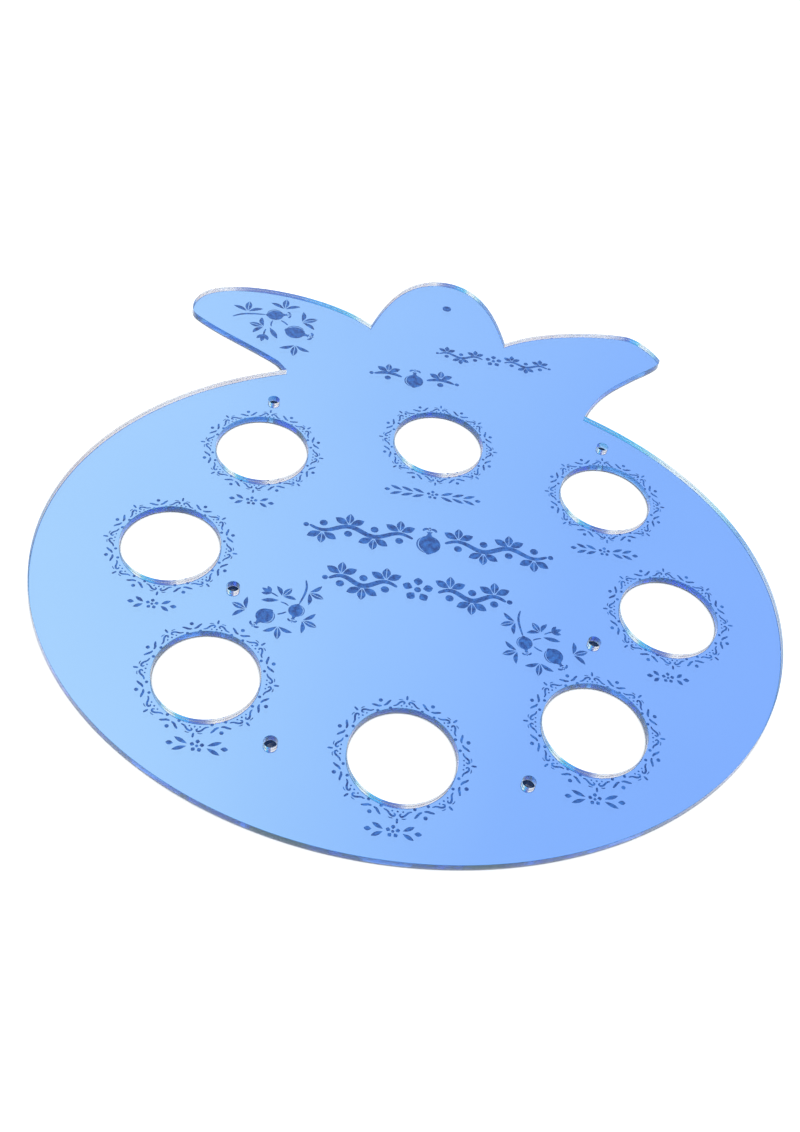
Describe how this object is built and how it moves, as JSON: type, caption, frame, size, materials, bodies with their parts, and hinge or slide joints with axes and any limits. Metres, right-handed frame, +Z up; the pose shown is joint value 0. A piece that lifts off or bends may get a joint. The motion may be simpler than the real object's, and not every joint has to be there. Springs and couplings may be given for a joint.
{
  "type": "rosh hashanah plate",
  "caption": "Flat mirrored acrylic plate cut as a pomegranate with a lobed crown, with round openings that hold small bowls and bores for legs.",
  "frame": {"origin": "bottom centre of the plate's bounding box, on the surface that it lies on", "axes": "+Z up, out of the mirrored face; +Y from the round body towards the crown; +X to the right when the plate is read"},
  "size_m": [0.3024, 0.3326, 0.003],
  "materials": {
    "clear_acrylic": "clear cast acrylic with a polished face and laser-cut edges",
    "mirror_film": "metallised mirror behind the acrylic, with engraved ornament left open",
    "backing_paint": "matt protective paint on the back, seen through the engraved ornament"
  },
  "bodies": {
    "root": {"clear_sheet": "clear_acrylic", "mirror_coat": "mirror_film", "back_paint": "backing_paint"}
  },
  "joints": []
}
